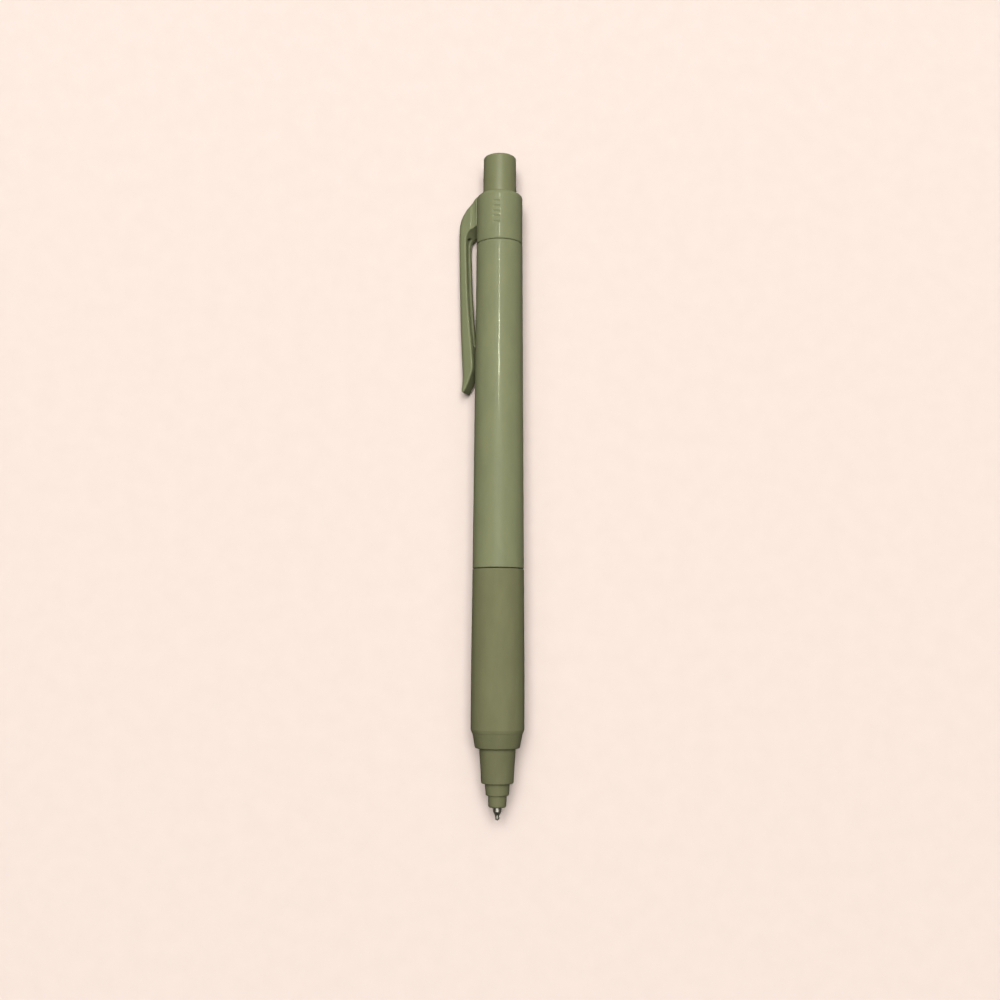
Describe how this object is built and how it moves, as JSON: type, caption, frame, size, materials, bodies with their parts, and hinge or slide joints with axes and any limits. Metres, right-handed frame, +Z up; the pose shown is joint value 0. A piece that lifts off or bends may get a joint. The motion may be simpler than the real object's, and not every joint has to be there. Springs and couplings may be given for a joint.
{
  "type": "gel pen",
  "caption": "Slim retractable gel pen in one muted olive green, with a moulded pocket clip, push button, soft grip and stepped nose.",
  "frame": {"origin": "centre of the pen's bounding box, on the surface that it lies on", "axes": "+Y along the pen from tip to button, +Z up, clip on the -X side and rolled down until it touches the surface"},
  "size_m": [0.0146, 0.143, 0.0113],
  "materials": {
    "body_plastic": "satin moulded ABS",
    "button_plastic": "satin moulded ABS",
    "soft_grip": "matte soft touch",
    "nose_plastic": "fine matt moulded ABS",
    "tip_metal": "turned nickel silver",
    "ball_metal": "polished tungsten carbide",
    "spring_steel": "drawn wire",
    "white_plastic": "moulded acetal",
    "refill_clear": "clear extruded polypropylene",
    "gel_ink": "black gel",
    "grease": "translucent grease"
  },
  "bodies": {
    "pen_body": {"barrel": "body_plastic", "clip_collar": "body_plastic", "cam_guide_sleeve": "white_plastic"},
    "front_end": {"front_section": "nose_plastic", "grip_sleeve": "soft_grip"},
    "button": {"push_button": "button_plastic", "thrust_sleeve": "white_plastic"},
    "refill": {"refill_tube": "refill_clear", "refill_end_plug": "white_plastic", "gel_ink": "gel_ink", "ink_follower": "grease", "refill_tip_holder": "white_plastic", "tip_body": "tip_metal", "tip_ball": "ball_metal", "tip_spring": "spring_steel", "return_spring": "spring_steel"},
    "cam": {"rotary_cam": "white_plastic"}
  },
  "joints": [
    {"name": "button_slide", "type": "slide", "parent": "pen_body", "child": "button", "axis": [0, 1, -0.0053], "range_m": [-0.0018, 0.004], "stiffness_N_per_m": 300},
    {"name": "refill_slide", "type": "slide", "parent": "pen_body", "child": "refill", "axis": [0, 1, -0.0053], "range_m": [-0.0018, 0.004], "deforming": ["return_spring"]},
    {"name": "cam_turn", "type": "hinge", "parent": "refill", "child": "cam", "pos_m": [0.00168, 0.03849, 0.00519], "axis": [0, 1, -0.0053], "range_deg": [-20.25, 45]},
    {"name": "front_unscrew", "type": "slide", "parent": "pen_body", "child": "front_end", "axis": [0, -1, 0.0053], "range_m": [0, 0.065]}
  ],
  "couplings": [
    {"joint": "refill_slide", "follows": "button_slide", "ratio": 1},
    {"joint": "cam_turn", "follows": "button_slide", "rad_per_m": 196.35}
  ]
}
